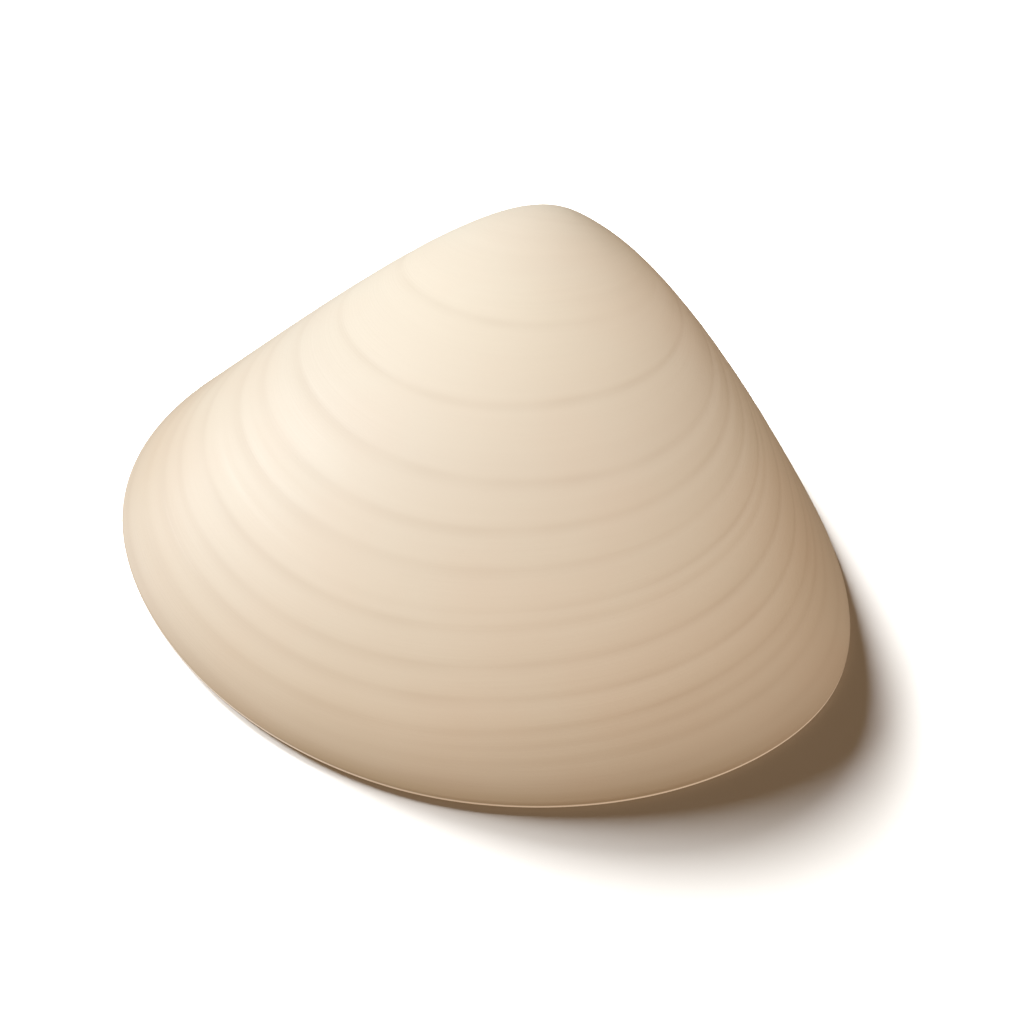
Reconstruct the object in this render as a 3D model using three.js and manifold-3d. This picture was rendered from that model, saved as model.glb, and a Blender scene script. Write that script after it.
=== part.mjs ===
// One valve of an otter clam shell, lying on its margin with the outside up.
// Millimetres, +X along the hinge line, +Y towards the hinge, +Z up. The origin is the middle of
// the box, on the surface that the margin rests on.
import * as THREE from 'three';
import { LoftGeometry } from 'three/addons/geometries/LoftGeometry.js';
import { mergeVertices } from 'three/addons/utils/BufferGeometryUtils.js';
import Module from 'manifold-3d';

const wasm = await Module();
wasm.setup();

// Driving dimensions. Lengths in millimetres, measured from the beak, the point that growth began at
const LENGTH = 140;
const OUTLINE_POINTS = [
  [0, 3.1], [42.4, -18.9], [76.2, -52.7], [84.2, -81.7], [61, -107.6], [31.9, -120.7],
  [2.3, -124.7], [-32, -116.7], [-61.6, -91.4], [-61.5, -56.7], [-18.9, -17.3],
];
const COIL = 1.155;
const COIL_INSIDE = 1.27;
const COIL_EASE = 0.31;
const COIL_LEAN = 13.2;
const WALL = 2.2;
const LIP_HEIGHT = 1.2;

// How far the growth lines run ahead of an even copy of the margin, around the shell
const SKEW = { right: -0.605, hinge: -0.539, ends: -0.114, diagonal: -0.212, triple: -0.054 };

// Growth rests: the age of each groove, where 1 is the margin, and how much older it is towards +X
const RESTS = [
  [0.309, 0.024], [0.416, 0.027], [0.516, 0.048], [0.58, 0.04], [0.633, 0.039], [0.692, 0.032], [0.715, 0.03],
  [0.773, 0.021], [0.824, 0.017], [0.878, 0], [0.903, 0], [0.931, 0], [0.967, 0],
];
const GROOVE_DEPTH = 0.3;
const GROOVE_HALF_WIDTH = 0.009;
const TERRACE_RISE = 0.1;
const TERRACE_GAP = 0.03;
const FULL_RELIEF_SPEED = 110;

// The beak, before the first groove, and the tip that closes it
const BEAK_AGE = 0.25;
const TIP_AGE = 0.012;
const BEAK_RINGS = 9;
const TIP_INSIDE = 0.17;

// Hinge, under the beak: a plate with a spoon-shaped pit for the ligament and two teeth
const PLATE = { bottom: 1, thickness: 3.6, left: -24, right: 25, back: 2, front: -15, tongue: -20.5 };
const PIT = { x: -3.5, y: -12, z: 1.4, radii: [4.6, 6.8, 2.4] };
const TOOTH = { bottom: 0.3, height: 2, width: 1.7, length: 8.5, start: 2.2, y: -5.5, turns: [0.25, 0.85] };

// Facets
const COLUMNS = 60;
const INSIDE_RINGS = 12;
const FLOOR_CUT = 2;
const STEP = 1e-4;

const TAU = 2 * Math.PI;

// The margin is a closed uniform cubic B-spline; turn runs 0 to 1, from the hinge by way of +X
function outlineAt(turn) {
  const count = OUTLINE_POINTS.length;
  const place = ((turn % 1) + 1) % 1 * count;
  const first = Math.floor(place);
  const f = place - first;
  const weights = [
    (1 - f) ** 3 / 6,
    (3 * f ** 3 - 6 * f ** 2 + 4) / 6,
    (-3 * f ** 3 + 3 * f ** 2 + 3 * f + 1) / 6,
    f ** 3 / 6,
  ];
  const point = new THREE.Vector2();
  weights.forEach((weight, i) => {
    const [x, y] = OUTLINE_POINTS[(first + i + count - 1) % count];
    point.x += weight * x;
    point.y += weight * y;
  });
  return point;
}

const turns = Array.from({ length: COLUMNS }, (_, i) => i / COLUMNS);

// The margin's extent sets the scale that makes the shell exactly LENGTH long
const spans = turns.map((turn) => outlineAt(turn).x);
const SIZE = LENGTH / (Math.max(...spans) - Math.min(...spans));

// The margin moved in by an even width
function marginAt(turn, inset) {
  const along = outlineAt(turn + STEP).sub(outlineAt(turn - STEP)).normalize();
  const inward = new THREE.Vector2(along.y, -along.x);
  return outlineAt(turn).multiplyScalar(SIZE).addScaledVector(inward, inset);
}

function skewAt(turn) {
  const angle = TAU * turn;
  return SKEW.right * Math.sin(angle) + SKEW.hinge * Math.cos(angle)
    + SKEW.ends * Math.cos(2 * angle) + SKEW.diagonal * Math.sin(2 * angle)
    + SKEW.triple * Math.sin(3 * angle);
}

// The skew fades towards the tip of the beak
function scaleAt(age, turn) {
  const grown = Math.max(age, BEAK_AGE);
  const fade = Math.log(Math.min(age, BEAK_AGE) / TIP_AGE) / Math.log(BEAK_AGE / TIP_AGE);
  return age * (1 + (1 - grown) * skewAt(turn)) ** fade;
}

// As the shell grows it turns about the hinge line, so each smaller copy of the margin is
// rolled back by an angle that follows a logarithmic spiral, a little less while it is young,
// and leans along the hinge line as it turns
function rolledPoint(margin, scale, coil) {
  const angle = -Math.log(scale) / coil * (1 - COIL_EASE * (1 - scale));
  return new THREE.Vector3(
    scale * (margin.x + COIL_LEAN * angle),
    scale * margin.y * Math.cos(angle),
    LIP_HEIGHT - scale * margin.y * Math.sin(angle),
  );
}

function smoothPoint(age, turn) {
  return rolledPoint(marginAt(turn, 0), scaleAt(age, turn), COIL);
}

// Relief stands along the surface's normal, and fades where the growth lines crowd at the hinge
function growthRing({ middleAge, tilt, relief }) {
  return turns.map((turn) => {
    const age = middleAge + tilt * Math.sin(TAU * turn);
    const older = Math.min(age + STEP, 1);
    const grow = smoothPoint(older, turn).sub(smoothPoint(older - 2 * STEP, turn));
    const around = smoothPoint(age, turn + STEP).sub(smoothPoint(age, turn - STEP));
    const speed = grow.length() / (2 * STEP);
    const outward = around.cross(grow).normalize();
    const fade = Math.min(1, speed / FULL_RELIEF_SPEED) ** 2;
    return smoothPoint(age, turn).addScaledVector(outward, relief * fade);
  });
}

// Stations from the tip to the margin: each groove has two shoulders and a floor, and a wide
// band between two grooves rises to a low crown
function growthStations() {
  const first = RESTS[0][0] - GROOVE_HALF_WIDTH;
  const stations = [];
  for (let i = 0; i < BEAK_RINGS; i++) {
    stations.push({ middleAge: TIP_AGE * (first / TIP_AGE) ** (i / BEAK_RINGS), tilt: 0, relief: 0 });
  }
  RESTS.forEach(([rest, tilt], i) => {
    const [next, nextTilt] = RESTS[i + 1] ?? [1, 0];
    stations.push({ middleAge: rest - GROOVE_HALF_WIDTH, tilt, relief: 0 });
    stations.push({ middleAge: rest, tilt, relief: -GROOVE_DEPTH });
    stations.push({ middleAge: rest + GROOVE_HALF_WIDTH, tilt, relief: 0 });
    if (next - rest > TERRACE_GAP) {
      stations.push({ middleAge: (rest + next) / 2, tilt: (tilt + nextTilt) / 2, relief: TERRACE_RISE });
    }
  });
  stations.push({ middleAge: 1, tilt: 0, relief: 0 });
  return stations;
}

function flatRing(inset, z) {
  return turns.map((turn) => {
    const point = marginAt(turn, inset);
    return new THREE.Vector3(point.x, point.y, z);
  });
}

function solidFrom(geometry) {
  const bare = new THREE.BufferGeometry();
  bare.setAttribute('position', geometry.attributes.position);
  bare.setIndex(geometry.index);
  const merged = mergeVertices(bare);
  const mesh = new wasm.Mesh({
    numProp: 3,
    vertProperties: new Float32Array(merged.attributes.position.array),
    triVerts: new Uint32Array(merged.index.array),
  });
  return new wasm.Manifold(mesh);
}

function geometryFrom(solid) {
  const mesh = solid.getMesh();
  const geometry = new THREE.BufferGeometry();
  geometry.setAttribute('position', new THREE.BufferAttribute(mesh.vertProperties, 3));
  geometry.setIndex(new THREE.BufferAttribute(mesh.triVerts, 1));
  geometry.computeVertexNormals();
  return geometry;
}

// The outside, filled down to the resting plane
function outsideSolid() {
  const sections = growthStations().map(growthRing);
  sections.push(flatRing(0, 0));
  return solidFrom(new LoftGeometry(sections, { closed: true, capStart: true, capEnd: true }));
}

// The hollow, which coils a little tighter than the outside, so the wall thickens up the slope
function insideSolid() {
  const sections = [];
  for (let i = 0; i < INSIDE_RINGS; i++) {
    const scale = TIP_INSIDE ** (1 - i / (INSIDE_RINGS - 1));
    sections.push(turns.map((turn) => rolledPoint(marginAt(turn, WALL), scale, COIL_INSIDE)));
  }
  sections.push(flatRing(WALL, -FLOOR_CUT));
  return solidFrom(new LoftGeometry(sections, { closed: true, capStart: true, capEnd: true }));
}

function hingePlate() {
  const { left, right, back, front, tongue, bottom, thickness } = PLATE;
  const shape = new THREE.Shape();
  shape.moveTo(left, back);
  shape.lineTo(left, front / 2);
  shape.quadraticCurveTo(PIT.x - 9, front / 2, PIT.x - 6, front);
  shape.quadraticCurveTo(PIT.x, 2 * tongue - front, PIT.x + 6, front);
  shape.quadraticCurveTo(PIT.x + 9, front * 0.75, right, front / 2);
  shape.lineTo(right, back);
  const plate = new THREE.ExtrudeGeometry(shape, { depth: thickness, bevelEnabled: false, curveSegments: 8 });
  plate.translate(0, 0, bottom);
  return solidFrom(plate);
}

function ligamentPit() {
  const pit = new THREE.SphereGeometry(1, 16, 10);
  pit.scale(...PIT.radii);
  pit.translate(PIT.x, PIT.y, PIT.z);
  return solidFrom(pit);
}

// A wedge that points at the beak and leans away from the ligament pit
function hingeTooth(turn) {
  const { bottom, height, width, length, start, y } = TOOTH;
  const shape = new THREE.Shape();
  shape.moveTo(0, -start);
  shape.quadraticCurveTo(width, -start - length * 0.6, width / 2, -start - length);
  shape.lineTo(-width / 2, -start - length);
  shape.quadraticCurveTo(-width, -start - length * 0.6, 0, -start);
  const tooth = new THREE.ExtrudeGeometry(shape, { depth: height, bevelEnabled: false, curveSegments: 4 });
  tooth.rotateZ(turn);
  tooth.translate(start, y, bottom);
  return solidFrom(tooth);
}

function makeValve() {
  let hinge = hingePlate();
  for (const turn of TOOTH.turns) {
    hinge = hinge.add(hingeTooth(turn));
  }
  hinge = hinge.subtract(ligamentPit());
  const hollow = insideSolid().subtract(hinge);
  const shell = outsideSolid().subtract(hollow);

  const geometry = geometryFrom(shell);
  geometry.computeBoundingBox();
  const middle = geometry.boundingBox.getCenter(new THREE.Vector3());

  const material = new THREE.MeshStandardMaterial({ color: 0xd9c8ae, roughness: 0.55, metalness: 0 });
  const valve = new THREE.Mesh(geometry, material);
  valve.name = 'valve';
  valve.position.set(-middle.x, -middle.y, 0);
  return valve;
}

const shellHalf = new THREE.Group();
shellHalf.add(makeValve());

export default shellHalf;
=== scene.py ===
import math

import bpy
import numpy as np
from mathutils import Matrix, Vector


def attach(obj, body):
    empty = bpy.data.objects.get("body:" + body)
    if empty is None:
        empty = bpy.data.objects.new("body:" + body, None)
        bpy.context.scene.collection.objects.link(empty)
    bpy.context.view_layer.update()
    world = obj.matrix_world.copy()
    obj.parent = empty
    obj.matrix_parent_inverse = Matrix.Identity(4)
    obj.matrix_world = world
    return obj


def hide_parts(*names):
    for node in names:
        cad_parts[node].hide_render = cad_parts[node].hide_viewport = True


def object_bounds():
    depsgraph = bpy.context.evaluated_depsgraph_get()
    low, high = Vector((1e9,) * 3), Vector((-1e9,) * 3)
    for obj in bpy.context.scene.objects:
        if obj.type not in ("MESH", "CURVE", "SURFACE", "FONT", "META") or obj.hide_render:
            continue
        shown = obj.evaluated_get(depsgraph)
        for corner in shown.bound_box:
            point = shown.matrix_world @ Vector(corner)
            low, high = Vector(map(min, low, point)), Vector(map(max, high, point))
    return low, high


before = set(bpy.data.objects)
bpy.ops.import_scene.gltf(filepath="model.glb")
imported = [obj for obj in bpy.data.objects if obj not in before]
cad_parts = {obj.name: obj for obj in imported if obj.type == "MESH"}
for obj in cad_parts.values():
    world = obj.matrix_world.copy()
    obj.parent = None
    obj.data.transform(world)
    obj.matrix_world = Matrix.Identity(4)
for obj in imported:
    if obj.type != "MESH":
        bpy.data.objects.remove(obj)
cad_low, cad_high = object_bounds()

# One valve of an otter clam shell, lying on its margin. The shape is worked out in millimetres
# from the beak, the point that growth began at, and is then set into the frame's box in metres.
MM = 0.001

# The margin, as the control points of a closed uniform cubic B-spline
LENGTH = 140.0
OUTLINE_POINTS = np.array([
    (0, 3.1), (42.4, -18.9), (76.2, -52.7), (84.2, -81.7), (61, -107.6), (31.9, -120.7),
    (2.3, -124.7), (-32, -116.7), (-61.6, -91.4), (-61.5, -56.7), (-18.9, -17.3),
])
# The spiral outside and inside, how much less it turns while the shell is young, and how far it
# leans along the hinge line for each radian
COIL, COIL_INSIDE = 1.155, 1.27
COIL_EASE, COIL_LEAN = 0.31, 13.2
WALL, LIP_HEIGHT = 2.2, 1.2
# How far the growth lines run ahead of an even copy of the margin, around the shell
SKEW_RIGHT, SKEW_HINGE, SKEW_ENDS = -0.605, -0.539, -0.114
SKEW_DIAGONAL, SKEW_TRIPLE = -0.212, -0.054

# Growth rests, one row for each groove: its age, where 1 is the margin, how much older it is
# towards +X, its depth, its strength at the left and the right, and how wide it fades out, as an
# age where the growth lines are SPREAD_SPEED apart; the width in millimetres is the same all round
RESTS = np.array([
    (0.309, 0.024, 0.02, 0.9, 0.1, 0.010),
    (0.416, 0.027, 0.04, 0.8, 0.75, 0.011),
    (0.516, 0.048, 0.04, 0.8, 0.8, 0.012),
    (0.580, 0.040, 0.04, 0.9, 0.75, 0.011),
    (0.633, 0.039, 0.03, 0.9, 0.4, 0.016),
    (0.692, 0.032, 0.04, 0.0, 0.85, 0.010),
    (0.715, 0.030, 0.04, 1.2, 0.3, 0.011),
    (0.773, 0.021, 0.04, 1.0, 0.9, 0.011),
    (0.824, 0.017, 0.04, 1.1, 0.9, 0.011),
    (0.878, 0.0, 0.04, 0.9, 1.0, 0.011),
    (0.903, 0.0, 0.03, 0.0, 0.9, 0.007),
    (0.931, 0.0, 0.03, 0.0, 0.7, 0.007),
    (0.967, 0.0, 0.03, 1.1, 0.7, 0.009),
])
REST_AGES, REST_TILTS, REST_DEPTHS = RESTS[:, 0], RESTS[:, 1], RESTS[:, 2]
# Each groove's side towards the beak is this wide, in age, and its width is stretched where the
# growth lines crowd or spread, between the two limits
SHARP_SIDE = 0.0065
SPREAD_SPEED, NARROWEST, WIDEST = 125.0, 0.8, 1.9
# Unevenness round the shell: how strong, and how many times each wave beats in one turn
UNEVEN_SEED, UNEVEN_SHARE, UNEVEN_BEATS = 3, 0.13, (4, 9, 15)
# The turns between which the grooves fade on each flank, and by how much in shape and in colour
LEFT_FADE_START, LEFT_FADE_LENGTH = 0.68, 0.18
RIGHT_FADE_START, RIGHT_FADE_LENGTH = 0.24, 0.14
FLANK_FADE_RELIEF, FLANK_FADE_TINT = 0.45, 0.85
# The low crown between two grooves, which is lower where they stand closer than NARROW_TERRACE
TERRACE_RISE, FIRST_TERRACE_AGE, NARROW_TERRACE = 0.04, 0.2, 0.05
# Relief fades where the surface grows slower than this, in millimetres for each unit of age
FULL_RELIEF_SPEED, RELIEF_FADE_POWER = 130.0, 4
# Fine growth lines: their height, the age that they are full from, and their wavelengths in age
LINE_SEED, LINE_HEIGHT, LINES_FULL_AGE = 7, 0.008, 0.4
LINE_WAVELENGTHS = (0.055, 0.036, 0.027, 0.021, 0.017)

# Mesh density
COLUMNS = 320
TIP_AGE, BEAK_AGE = 0.012, 0.25
BEAK_RINGS, BODY_RINGS = 46, 170
GROOVE_CROWDING, CROWDING_SHIFT, CROWDING_WIDTH = 2.5, 0.003, 0.009
TIP_INSIDE, INSIDE_RINGS = 0.17, 70
LIP_ROUND, OUTER_LIP_RINGS, INNER_LIP_RINGS, INNER_LIP_START = 0.45, 6, 4, 0.2
FLOOR_CUT = 2.0
STEP = 1e-4
# Samples that the age of each point is looked up with, and the rounds that take out its tilt
SCALE_SAMPLES, TURN_SAMPLES, TILT_ROUNDS = 2000, 1440, 12

# Hinge under the beak
PLATE_BOTTOM, PLATE_TOP = 1.0, 4.6
PLATE_LEFT, PLATE_RIGHT, PLATE_BACK = -24.0, 25.0, 2.0
PLATE_FRONT, TONGUE_REACH, TONGUE_HALF_WIDTH = -7.5, 10.5, 6.5
TEETH_X, TEETH_REACH, TEETH_HALF_WIDTH = 9.0, 4.5, 8.0
PIT_X, PIT_Y, PIT_DEPTH = -3.5, -12.0, 2.0
PIT_HALF_WIDTH, PIT_HALF_LENGTH, PIT_EDGE = 4.6, 6.8, 0.25
# Each tooth's angle from the line straight down, its length and its height
TEETH = ((0.30, 9.0, 0.75), (0.90, 7.5, 0.7))
TEETH_START_X, TEETH_START_Y, TOOTH_HALF_WIDTH = 2.5, -6.0, 0.75
TOOTH_RISE_LENGTH, TOOTH_FALL_LENGTH = 1.5, 2.0
PLATE_SECTIONS, PLATE_COLUMNS, NOSE_COLUMNS = 120, 60, 12

# Colours of the outside by age, cream at the beak and brown at the margin
GROWTH_COLORS = (
    (0.0, (0.90, 0.835, 0.70)), (0.3, (0.82, 0.74, 0.61)), (0.5, (0.725, 0.645, 0.532)),
    (0.7, (0.68, 0.592, 0.472)), (0.88, (0.600, 0.496, 0.374)), (1.0, (0.550, 0.450, 0.340)),
)
STREAK_COLOR, STREAK_SHARE = (0.60, 0.50, 0.39), 0.18
BLOTCH_COLOR, BLOTCH_SHARE = (0.78, 0.73, 0.63), 0.12
PINK_TINT, PINK_SHARE = (1.0, 0.96, 0.945), 0.5
# Dark tint in the grooves: partly the growth rests' own darker colour, and partly painted shade in
# the grooves that stands in for some of their relief
GROOVE_STAIN_AND_SHADE_COLOR, GROOVE_STAIN_AND_SHADE_SHARE = (0.33, 0.21, 0.12), 0.105
# Painted highlight: the lip just above the resting plane is coloured near white, so the edge reads as
# a bright rim line
RIM_HIGHLIGHT_COLOR = (0.95, 0.83, 0.69)
INSIDE_COLOR, INSIDE_BLOTCH_COLOR = (0.74, 0.70, 0.63), (0.68, 0.61, 0.52)
# The margin's darker band, partly the shell's own darker edge and partly painted shade low down and
# on the side away from the key lamp: its tint, how it grows with age, and how it grows towards the
# front right, where it is widest
BAND_AND_SHADE_TINT = (0.64, 0.575, 0.485)
BAND_BY_AGE = ((0.84, 0.0), (0.90, 0.2), (0.94, 0.39), (0.965, 0.52), (0.99, 1.0))
BAND_TO_RIGHT, BAND_TO_FRONT, BAND_BY_PLACE = 2.5, 10.0, ((0.02, 0.0), (0.25, 0.15), (0.6, 1.0))
# Noise scales: blotches, pink patches and grain in space, streaks and fine lines as factors of
# the place along the shell and of the age across it
BLOTCH_SCALE, PINK_SCALE, GRAIN_SCALE = 22.0, 38.0, 1500.0
STREAK_STRETCH, FINE_STRETCH = (14.0, 5.0, 60.0), (30.0, 8.0, 260.0)
ROUGHNESS, STREAK_ROUGHNESS, INSIDE_POLISH = 0.44, 0.16, 0.18

FLOOR_COLOR, FLOOR_HALF = (0.50, 0.44, 0.37), 3.0

# Lamps: azimuth and elevation in degrees, strength, colour, and how wide they are in degrees
SHELL_LAMPS = {
    "key": (-89, 31, 3.95, (0.819, 0.915, 1.0), 30),
    "fill": (35, 45, 1.04, (1.0, 0.889, 0.782), 80),
    "bounce": (85, 5, 0.76, (1.0, 0.94, 0.88), 60),
    "back": (-175, 12, 0.2, (1.0, 0.93, 0.85), 60),
}
FLOOR_LAMPS = {
    "floor_key": (-130, 14, 54.3, (0.755, 0.857, 1.0), 22),
    "floor_side": (-110, 20, 13.1, (0.755, 0.857, 1.0), 12),
}
WORLD_COLOR, WORLD_STRENGTH = (1.0, 0.733, 0.5), 0.3

# Camera: the photograph's viewing angle
CAMERA_AZIMUTH, CAMERA_ELEVATION = math.radians(18), math.radians(62)
CAMERA_LENS, CAMERA_SENSOR, CAMERA_DISTANCE = 100.0, 36.0, 539.9
CAMERA_TARGET = (11.6, -62.29, 0.0)


def outline(turn):
    """Points of the margin for turns from 0 to 1, from the hinge by way of +X."""
    count = len(OUTLINE_POINTS)
    place = np.mod(turn, 1.0) * count
    first = np.floor(place).astype(int)
    f = (place - first)[..., None]
    weights = [(1 - f) ** 3, 3 * f**3 - 6 * f**2 + 4, -3 * f**3 + 3 * f**2 + 3 * f + 1, f**3]
    return sum(w / 6 * OUTLINE_POINTS[(first + i - 1) % count] for i, w in enumerate(weights))


EVEN_TURNS = np.arange(COLUMNS) / COLUMNS
SIZE = LENGTH / np.ptp(outline(EVEN_TURNS)[:, 0])


def margin(turn, inset=0.0):
    """The margin at its real size, moved in by inset."""
    along = outline(turn + STEP) - outline(turn - STEP)
    along /= np.linalg.norm(along, axis=-1, keepdims=True)
    inward = np.stack([along[..., 1], -along[..., 0]], axis=-1)
    return outline(turn) * SIZE + inward * np.asarray(inset)[..., None]


def skew(turn):
    angle = 2 * math.pi * turn
    return (SKEW_RIGHT * np.sin(angle) + SKEW_HINGE * np.cos(angle) + SKEW_ENDS * np.cos(2 * angle)
            + SKEW_DIAGONAL * np.sin(2 * angle) + SKEW_TRIPLE * np.sin(3 * angle))


def scale_at(age, turn):
    """How large the shell was at an age; the growth lines' skew fades towards the tip of the beak."""
    fade = np.log(np.minimum(age, BEAK_AGE) / TIP_AGE) / math.log(BEAK_AGE / TIP_AGE)
    return age * (1 + (1 - np.maximum(age, BEAK_AGE)) * skew(turn)) ** fade


def coil_angle(scale, coil):
    return -np.log(scale) / coil * (1 - COIL_EASE * (1 - scale))


def rolled(edge, scale, coil):
    """Smaller copies of an edge, rolled back about the hinge line along a logarithmic spiral."""
    angle = coil_angle(scale, coil)
    return np.stack([
        scale * (edge[..., 0] + COIL_LEAN * angle),
        scale * edge[..., 1] * np.cos(angle),
        LIP_HEIGHT - scale * edge[..., 1] * np.sin(angle),
    ], axis=-1)


def smooth_surface(age, turn):
    return rolled(margin(turn), scale_at(age, turn), COIL)


def growth_lines(age, turn):
    """Fine uneven growth lines, as a seeded sum of waves that drift a little round the shell."""
    rng = np.random.default_rng(LINE_SEED)
    height = np.zeros(np.broadcast(age, turn).shape)
    for wavelength in LINE_WAVELENGTHS:
        phase, drift, beat = rng.uniform(0, 2 * math.pi, 3)
        sway = 0.6 * np.sin(2 * math.pi * turn + drift) + 0.4 * np.sin(6 * math.pi * turn + beat)
        height += np.sin(2 * math.pi * age / wavelength + phase + sway) * (0.7 + 0.3 * sway)
    return height / (len(LINE_WAVELENGTHS) / 2)


def tilt(age):
    """How much older the growth lines are towards +X, between the rests too."""
    return np.interp(age, (BEAK_AGE, *REST_AGES, 1), (0, *REST_TILTS, 0))


def growth_speed(age, turn):
    """Directions of growth and of the margin, and how fast the surface grows for each age."""
    older = np.clip(age + STEP, 3 * STEP, 1)
    grow = smooth_surface(older, turn) - smooth_surface(older - 2 * STEP, turn)
    around = smooth_surface(age, turn + STEP) - smooth_surface(age, turn - STEP)
    return grow, around, np.linalg.norm(grow, axis=-1) / (2 * STEP)


def toward_hinge(turn):
    """0 round most of the shell, and rising to 1 where each flank runs up to the hinge."""
    left = (turn - LEFT_FADE_START) / LEFT_FADE_LENGTH
    right = (RIGHT_FADE_START - turn) / RIGHT_FADE_LENGTH
    return np.clip(np.maximum(left, right), 0, 1)


def grooves(age, turn, speed, strength):
    """The rests' grooves: uneven, sharp towards the beak, and fading out towards the margin."""
    rng = np.random.default_rng(UNEVEN_SEED)
    total = np.zeros(np.broadcast(age, turn).shape)
    stretch = np.clip(SPREAD_SPEED / speed, NARROWEST, WIDEST)
    toward_right = 0.5 + 0.5 * np.sin(2 * math.pi * turn)
    for (rest, _, _, left, right, fade), deep in zip(RESTS, strength):
        phases = rng.uniform(0, 2 * math.pi, len(UNEVEN_BEATS))
        uneven = 1 + sum(UNEVEN_SHARE * np.sin(2 * math.pi * beat * turn + phase)
                         for beat, phase in zip(UNEVEN_BEATS, phases))
        past = (age - rest) / stretch
        side = np.where(past < 0, SHARP_SIDE, fade)
        share = (left + (right - left) * toward_right) * uneven
        total = np.maximum(total, deep * share * np.exp(-(past / side) ** 2))
    return total


def relief(age, turn, speed):
    """Height of the growth relief above the smooth surface."""
    height = LINE_HEIGHT * growth_lines(age, turn) * np.clip(age / LINES_FULL_AGE, 0, 1)
    edges = [FIRST_TERRACE_AGE, *REST_AGES, 1.0]
    for start, end in zip(edges[:-1], edges[1:]):
        share = np.clip((age - start) / (end - start), 0, 1)
        rise = TERRACE_RISE * min(1, (end - start) / NARROW_TERRACE)
        height = height + rise * np.sin(math.pi * share) ** 2
    kept = 1 - FLANK_FADE_RELIEF * toward_hinge(turn)
    return height - grooves(age, turn, speed, REST_DEPTHS) * kept


def ring_ages():
    """The ages of the body's rings, which stand closer together at the grooves."""
    fine = np.linspace(BEAK_AGE, 1, 4000)
    crowding = 1 + GROOVE_CROWDING * sum(
        np.exp(-((fine - rest - CROWDING_SHIFT) / CROWDING_WIDTH) ** 2) for rest in REST_AGES)
    place = np.concatenate([[0], np.cumsum(crowding[1:] + crowding[:-1])])
    return np.interp(np.linspace(0, place[-1], BODY_RINGS), place, fine)


def outer_rings():
    """The outside, ring by ring from the tip of the beak to the top of the lip."""
    beak = TIP_AGE * (BEAK_AGE / TIP_AGE) ** (np.arange(BEAK_RINGS) / BEAK_RINGS)
    middle_age, turn = np.meshgrid(np.concatenate([beak, ring_ages()]), EVEN_TURNS, indexing="ij")
    age = middle_age + tilt(middle_age) * np.sin(2 * math.pi * turn)
    grow, around, speed = growth_speed(age, turn)
    outward = np.cross(around, grow)
    outward /= np.linalg.norm(outward, axis=-1, keepdims=True)
    fade = np.minimum(1, speed / FULL_RELIEF_SPEED) ** RELIEF_FADE_POWER
    return smooth_surface(age, turn) + outward * (relief(middle_age, turn, speed) * fade)[..., None]


def level_ring(inset, z):
    edge = margin(EVEN_TURNS, inset)
    return np.column_stack([edge, np.full(COLUMNS, z)])[None]


def outside_points():
    """The outside with the lip below it, rounded in to the resting plane."""
    rings = [outer_rings()]
    for angle in np.linspace(0, math.pi / 2, OUTER_LIP_RINGS):
        inset = LIP_ROUND * (1 - math.cos(angle))
        rings.append(level_ring(inset, LIP_ROUND * (1 - math.sin(angle))))
    return np.concatenate(rings)


def inside_points():
    """The hollow, which coils a little tighter, and flares where it meets the resting plane."""
    scales = TIP_INSIDE ** (1 - np.arange(INSIDE_RINGS) / (INSIDE_RINGS - 1))
    scale, turn = np.meshgrid(scales, EVEN_TURNS, indexing="ij")
    rings = [rolled(margin(turn, WALL), scale, COIL_INSIDE)]
    for angle in np.linspace(INNER_LIP_START, math.pi / 2, INNER_LIP_RINGS):
        inset = WALL - LIP_ROUND * (1 - math.cos(angle))
        rings.append(level_ring(inset, LIP_ROUND * (1 - math.sin(angle))))
    rings.append(level_ring(WALL - LIP_ROUND, -FLOOR_CUT))
    return np.concatenate(rings)


def loft(name, rings):
    """A closed mesh through rings of points, with a fan over each end."""
    count, columns = rings.shape[:2]
    points = rings.reshape(-1, 3)
    i, j = np.meshgrid(np.arange(count - 1), np.arange(columns), indexing="ij")
    k = (j + 1) % columns
    low, high = i * columns, (i + 1) * columns
    quads = np.stack([low + j, low + k, high + k, high + j], axis=-1)
    faces = [tuple(int(v) for v in quad) for quad in quads.reshape(-1, 4)]
    ends = np.stack([rings[0].mean(0), rings[-1].mean(0)])
    first, last = len(points), len(points) + 1
    start_of_last = (count - 1) * columns
    for column in range(columns):
        following = (column + 1) % columns
        faces.append((first, following, column))
        faces.append((last, start_of_last + column, start_of_last + following))
    mesh = bpy.data.meshes.new(name)
    mesh.from_pydata(np.concatenate([points, ends]).tolist(), [], faces)
    mesh.update()
    solid = bpy.data.objects.new(name, mesh)
    bpy.context.scene.collection.objects.link(solid)
    return solid


def plate_front(x):
    """The hinge plate's edge in the hollow: a tongue under the pit, and a step under the teeth."""
    tongue = TONGUE_REACH * np.exp(-((x - PIT_X) / TONGUE_HALF_WIDTH) ** 2)
    under_teeth = TEETH_REACH * np.exp(-((x - TEETH_X) / TEETH_HALF_WIDTH) ** 2)
    return PLATE_FRONT - tongue - under_teeth


def tooth_height(x, y):
    """Two narrow cardinal teeth that fan out from the beak."""
    height = np.zeros_like(x)
    right, back = x - TEETH_START_X, y - TEETH_START_Y
    for angle, reach, rise in TEETH:
        along = right * math.sin(angle) - back * math.cos(angle)
        across = right * math.cos(angle) + back * math.sin(angle)
        length = (np.clip(along / TOOTH_RISE_LENGTH, 0, 1)
                  * np.clip((reach - along) / TOOTH_FALL_LENGTH, 0, 1))
        height = np.maximum(height, rise * length * np.exp(-(across / TOOTH_HALF_WIDTH) ** 2))
    return height


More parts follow.
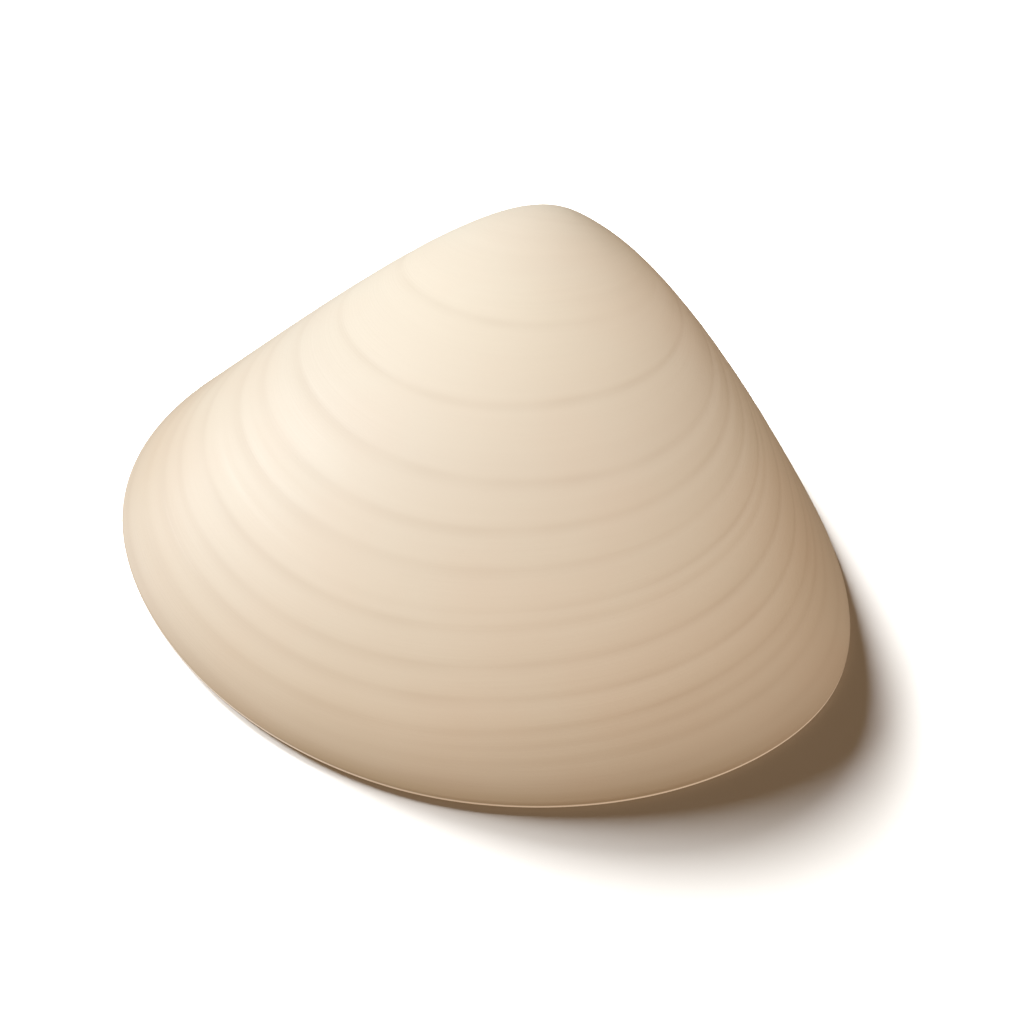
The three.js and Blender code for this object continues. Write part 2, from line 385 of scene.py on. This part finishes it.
def hinge_plate():
    """The plate with its pit and teeth, as sections across the hinge line."""
    xs = np.linspace(PLATE_RIGHT, PLATE_LEFT, PLATE_SECTIONS)
    share = np.linspace(0, 1, PLATE_COLUMNS)
    half = (PLATE_TOP - PLATE_BOTTOM) / 2
    rings = []
    for x in xs:
        front = plate_front(x) + half
        under_y = PLATE_BACK + (front - PLATE_BACK) * share
        across_pit = (x - PIT_X) / PIT_HALF_WIDTH
        along_pit = (under_y - PIT_Y) / PIT_HALF_LENGTH
        pit = np.clip(1 - across_pit ** 2 - along_pit ** 2, 0, 1)
        pit_depth = PIT_DEPTH * np.sqrt(pit) * np.minimum(1, pit / PIT_EDGE)
        under_z = PLATE_BOTTOM + pit_depth - tooth_height(np.full_like(under_y, x), under_y)
        nose = np.linspace(0, math.pi, NOSE_COLUMNS)[1:-1]
        nose_y = front - half * np.sin(nose)
        nose_z = PLATE_BOTTOM + half * (1 - np.cos(nose))
        over_y = under_y[::-6]
        y = np.concatenate([under_y, nose_y, over_y])
        z = np.concatenate([under_z, nose_z, np.full(len(over_y), PLATE_TOP)])
        rings.append(np.column_stack([np.full(len(y), x), y, z]))
    return loft("hinge", np.array(rings))


def cut(solid, tool):
    """Takes tool out of solid and removes tool."""
    modifier = solid.modifiers.new("cut", "BOOLEAN")
    modifier.operation = "DIFFERENCE"
    modifier.solver = "EXACT"
    modifier.object = tool
    with bpy.context.temp_override(object=solid, active_object=solid):
        bpy.ops.object.modifier_apply(modifier="cut")
    bpy.data.objects.remove(tool)


def make_valve():
    hollow = loft("hollow", inside_points())
    cut(hollow, hinge_plate())
    valve = loft("shell_valve", outside_points())
    cut(valve, hollow)
    return valve


def read_points(mesh):
    points = np.zeros(len(mesh.vertices) * 3)
    mesh.vertices.foreach_get("co", points)
    return points.reshape(-1, 3)


def add_growth_attributes(mesh, points):
    """Each point's age, depth below the outside and share of a groove, for the material."""
    angle = np.clip(np.arctan2(points[:, 2] - LIP_HEIGHT, -points[:, 1]), 0, None)
    scales = np.geomspace(1, TIP_AGE / 4, SCALE_SAMPLES)
    scale = np.interp(angle, coil_angle(scales, COIL), scales)
    flat = np.column_stack([
        points[:, 0] / scale - COIL_LEAN * angle,
        -np.hypot(points[:, 1], points[:, 2] - LIP_HEIGHT) / scale,
    ])
    turns = np.arange(TURN_SAMPLES) / TURN_SAMPLES
    edge = margin(turns)
    middle = (edge.min(0) + edge.max(0)) / 2
    bearing = np.unwrap(np.arctan2(*(edge - middle).T))
    own = np.mod(np.arctan2(*(flat - middle).T) - bearing[0], 2 * math.pi)
    turn = np.interp(own, bearing - bearing[0], turns)
    reach = np.linalg.norm(margin(turn) - middle, axis=1)
    depth = (reach - np.linalg.norm(flat - middle, axis=1)) * scale
    f = skew(turn)
    root = np.sqrt(np.maximum((1 + f) ** 2 - 4 * f * scale, 0))
    grown = 2 * scale / (1 + f + root)
    beak = BEAK_AGE * (scale / scale_at(BEAK_AGE, turn)) ** (
        1 / (1 + np.log(1 + (1 - BEAK_AGE) * f) / math.log(BEAK_AGE / TIP_AGE)))
    age = np.where(scale < scale_at(BEAK_AGE, turn), beak, grown)
    middle_age = age
    for _ in range(TILT_ROUNDS):
        middle_age = age - tilt(middle_age) * np.sin(2 * math.pi * turn)
    speed = growth_speed(np.clip(age, TIP_AGE, 1), turn)[2]
    kept = 1 - FLANK_FADE_TINT * toward_hinge(turn)
    groove = grooves(middle_age, turn, speed, np.ones(len(RESTS))) * kept
    for name, values in (("age", middle_age), ("depth", depth), ("groove", groove)):
        attribute = mesh.attributes.new(name, "FLOAT", "POINT")
        attribute.data.foreach_set("value", values.astype(np.float32))


def set_into_box(mesh, points):
    """Centres the shell over the origin, in metres, at exactly the frame's size."""
    low, high = points.min(0), points.max(0)
    fit = (np.array(cad_high) - np.array(cad_low)) / (high - low)
    middle = np.array([(low[0] + high[0]) / 2, (low[1] + high[1]) / 2, low[2]])
    placed = (points - middle) * fit
    mesh.vertices.foreach_set("co", placed.ravel())
    mesh.update()
    return middle


class Nodes:
    """Short helpers to write a node tree from the inside out."""

    def __init__(self, material):
        material.use_nodes = True
        self.tree = material.node_tree
        self.shader = self.tree.nodes["Principled BSDF"]

    def add(self, kind, inputs=(), **settings):
        node = self.tree.nodes.new(kind)
        for key, value in settings.items():
            setattr(node, key, value)
        for key, value in dict(inputs).items():
            self.put(node.inputs[key], value)
        return node

    def put(self, socket, value):
        if isinstance(value, bpy.types.NodeSocket):
            self.tree.links.new(value, socket)
        else:
            socket.default_value = value

    def math(self, operation, *values, clamp=False):
        node = self.add("ShaderNodeMath", operation=operation, use_clamp=clamp)
        for socket, value in zip(node.inputs, values):
            self.put(socket, value)
        return node.outputs[0]

    def ramp(self, value, *stops, interpolation="LINEAR"):
        node = self.add("ShaderNodeValToRGB", {"Fac": value})
        ramp = node.color_ramp
        ramp.interpolation = interpolation
        while len(ramp.elements) < len(stops):
            ramp.elements.new(0.5)
        for element, (place, color) in zip(ramp.elements, stops):
            element.position = place
            element.color = (*color, 1) if hasattr(color, "__len__") else (color, color, color, 1)
        return node.outputs["Color"]

    def mix(self, factor, first, second, blend="MIX"):
        node = self.add("ShaderNodeMix", data_type="RGBA", blend_type=blend)
        self.put(node.inputs["Factor"], factor)
        self.put(node.inputs[6], first if isinstance(first, bpy.types.NodeSocket) else (*first, 1))
        self.put(node.inputs[7], second if isinstance(second, bpy.types.NodeSocket) else (*second, 1))
        return node.outputs[2]

    def noise(self, vector, scale, detail=2.0, roughness=0.5):
        node = self.add("ShaderNodeTexNoise", {"Vector": vector, "Scale": scale, "Detail": detail,
                                               "Roughness": roughness})
        return node.outputs["Fac"]

    def along_growth(self, xyz, age, stretch):
        """A place whose third coordinate is the age, so noise there runs along the growth lines."""
        across, along, aged = stretch
        return self.add("ShaderNodeCombineXYZ", {
            "X": self.math("MULTIPLY", xyz["X"], across),
            "Y": self.math("MULTIPLY", xyz["Y"], along),
            "Z": self.math("MULTIPLY", age, aged),
        }).outputs["Vector"]

    def attribute(self, name):
        return self.add("ShaderNodeAttribute", attribute_name=name).outputs["Fac"]


def shell_material():
    material = bpy.data.materials.new("shell")
    n = Nodes(material)
    age = n.attribute("age")
    depth = n.attribute("depth")
    place = n.add("ShaderNodeTexCoord").outputs["Object"]
    xyz = n.add("ShaderNodeSeparateXYZ", {"Vector": place}).outputs
    # Streaks run along the growth lines: fine across them in age, long along the shell in metres
    streaks = n.noise(n.along_growth(xyz, age, STREAK_STRETCH), 1.0, detail=4.0, roughness=0.6)
    fine = n.noise(n.along_growth(xyz, age, FINE_STRETCH), 1.0, detail=3.0, roughness=0.6)
    blotches = n.noise(place, BLOTCH_SCALE, detail=3.0)
    grain = n.noise(place, GRAIN_SCALE, detail=2.0)

    growth = n.ramp(age, *GROWTH_COLORS)
    warm = n.mix(n.math("MULTIPLY", streaks, STREAK_SHARE), growth, STREAK_COLOR)
    toned = n.mix(n.ramp(blotches, (0.35, 0.0), (0.75, BLOTCH_SHARE)), warm, BLOTCH_COLOR)
    pink = n.ramp(n.noise(place, PINK_SCALE, detail=2.0), (0.45, 0.0), (0.65, PINK_SHARE))
    tinted = n.mix(pink, toned, PINK_TINT, blend="MULTIPLY")
    # The grooves are darkened, partly in their own colour and partly with painted shade
    groove = n.math("MULTIPLY", n.attribute("groove"), GROOVE_STAIN_AND_SHADE_SHARE)
    groove_stain_and_shade = n.mix(groove, tinted, GROOVE_STAIN_AND_SHADE_COLOR)
    # Partly painted shade: the margin band darkens most towards the front right, away from the key
    # lamp, and near the floor
    to_right = n.math("MULTIPLY", xyz["X"], BAND_TO_RIGHT)
    to_back = n.math("MULTIPLY", xyz["Y"], BAND_TO_FRONT)
    front = n.ramp(n.math("SUBTRACT", to_right, to_back), *BAND_BY_PLACE)
    band = n.math("MULTIPLY", front, n.ramp(age, *BAND_BY_AGE))
    band_and_shade = n.mix(band, groove_stain_and_shade, BAND_AND_SHADE_TINT, blend="MULTIPLY")
    # Painted highlight on the lip: the lowest millimetre or so of the outside is mixed towards the
    # pale rim colour
    rim_highlight = n.ramp(n.math("MULTIPLY", xyz["Z"], 100.0), (0.09, 1.0), (0.125, 0.0))
    outside = n.mix(rim_highlight, band_and_shade, RIM_HIGHLIGHT_COLOR)
    inside = n.mix(n.ramp(blotches, (0.3, 0.0), (0.8, 0.5)), INSIDE_COLOR, INSIDE_BLOTCH_COLOR)
    is_inside = n.ramp(n.math("MULTIPLY", depth, 0.2), (0.18, 0.0), (0.3, 1.0))
    n.put(n.shader.inputs["Base Color"], n.mix(is_inside, outside, inside))
    rough = n.math("ADD", n.math("MULTIPLY", streaks, STREAK_ROUGHNESS), ROUGHNESS)
    polish = n.math("MULTIPLY", is_inside, INSIDE_POLISH)
    n.put(n.shader.inputs["Roughness"], n.math("SUBTRACT", rough, polish))
    n.put(n.shader.inputs["Specular IOR Level"], 0.4)
    height = n.math("ADD", n.math("MULTIPLY", fine, 0.7), n.math("MULTIPLY", grain, 0.3))
    bump = n.add("ShaderNodeBump", {"Height": height, "Strength": 0.25, "Distance": 0.00012})
    n.put(n.shader.inputs["Normal"], bump.outputs["Normal"])
    return material


def floor_material():
    material = bpy.data.materials.new("floor")
    n = Nodes(material)
    n.put(n.shader.inputs["Base Color"], (*FLOOR_COLOR, 1))
    n.put(n.shader.inputs["Roughness"], 0.9)
    n.put(n.shader.inputs["Specular IOR Level"], 0.1)
    return material


def make_floor():
    """A floor that neither lights the shell nor shows in its gloss, because it is lit to white."""
    mesh = bpy.data.meshes.new("floor")
    signs = ((-1, -1), (1, -1), (1, 1), (-1, 1))
    corners = [(x * FLOOR_HALF, y * FLOOR_HALF, 0) for x, y in signs]
    mesh.from_pydata(corners, [], [(0, 1, 2, 3)])
    floor = bpy.data.objects.new("floor", mesh)
    bpy.context.scene.collection.objects.link(floor)
    mesh.materials.append(floor_material())
    floor.visible_diffuse = False
    floor.visible_glossy = False
    return floor


def make_sun(name, azimuth, elevation, strength, color, spread, lit):
    """A soft lamp for one object; its azimuth is where it stands, counted as the camera's is."""
    light = bpy.data.lights.new(name, "SUN")
    light.energy = strength
    light.color = color
    light.angle = math.radians(spread)
    lamp = bpy.data.objects.new(name, light)
    a, e = math.radians(azimuth), math.radians(elevation)
    toward = Vector((math.sin(a) * math.cos(e), -math.cos(a) * math.cos(e), math.sin(e)))
    lamp.rotation_mode = "QUATERNION"
    lamp.rotation_quaternion = toward.to_track_quat("Z", "Y")
    lamp.location = toward
    bpy.context.scene.collection.objects.link(lamp)
    receivers = bpy.data.collections.new(name + "_receivers")
    receivers.objects.link(lit)
    lamp.light_linking.receiver_collection = receivers


def make_lights(valve, floor):
    """A soft cool key from the left, weak warm lamps around, and lamps that light only the floor."""
    for lamps, lit in ((SHELL_LAMPS, valve), (FLOOR_LAMPS, floor)):
        for name, settings in lamps.items():
            make_sun(name, *settings, lit)
    world = bpy.data.worlds.new("studio")
    world.use_nodes = True
    background = world.node_tree.nodes["Background"]
    background.inputs["Color"].default_value = (*WORLD_COLOR, 1)
    background.inputs["Strength"].default_value = WORLD_STRENGTH
    bpy.context.scene.world = world


def make_camera(beak):
    """Looks at a point in millimetres from the beak, from the photograph's angle."""
    data = bpy.data.cameras.new("camera")
    data.lens = CAMERA_LENS
    data.sensor_width = CAMERA_SENSOR
    camera = bpy.data.objects.new("camera", data)
    target = (Vector(CAMERA_TARGET) - Vector(beak)) * MM
    back = Vector((
        math.sin(CAMERA_AZIMUTH) * math.cos(CAMERA_ELEVATION),
        -math.cos(CAMERA_AZIMUTH) * math.cos(CAMERA_ELEVATION),
        math.sin(CAMERA_ELEVATION),
    ))
    camera.location = target + back * CAMERA_DISTANCE * MM
    camera.rotation_mode = "QUATERNION"
    camera.rotation_quaternion = back.to_track_quat("Z", "Y")
    bpy.context.scene.collection.objects.link(camera)
    bpy.context.scene.camera = camera


valve = make_valve()
shape = read_points(valve.data)
add_growth_attributes(valve.data, shape)
middle = set_into_box(valve.data, shape)
valve.data.shade_smooth()
valve.data.materials.clear()
valve.data.materials.append(shell_material())
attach(valve, "root")
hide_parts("valve")

make_lights(valve, make_floor())
make_camera(middle)
bpy.context.scene.view_settings.view_transform = "Standard"
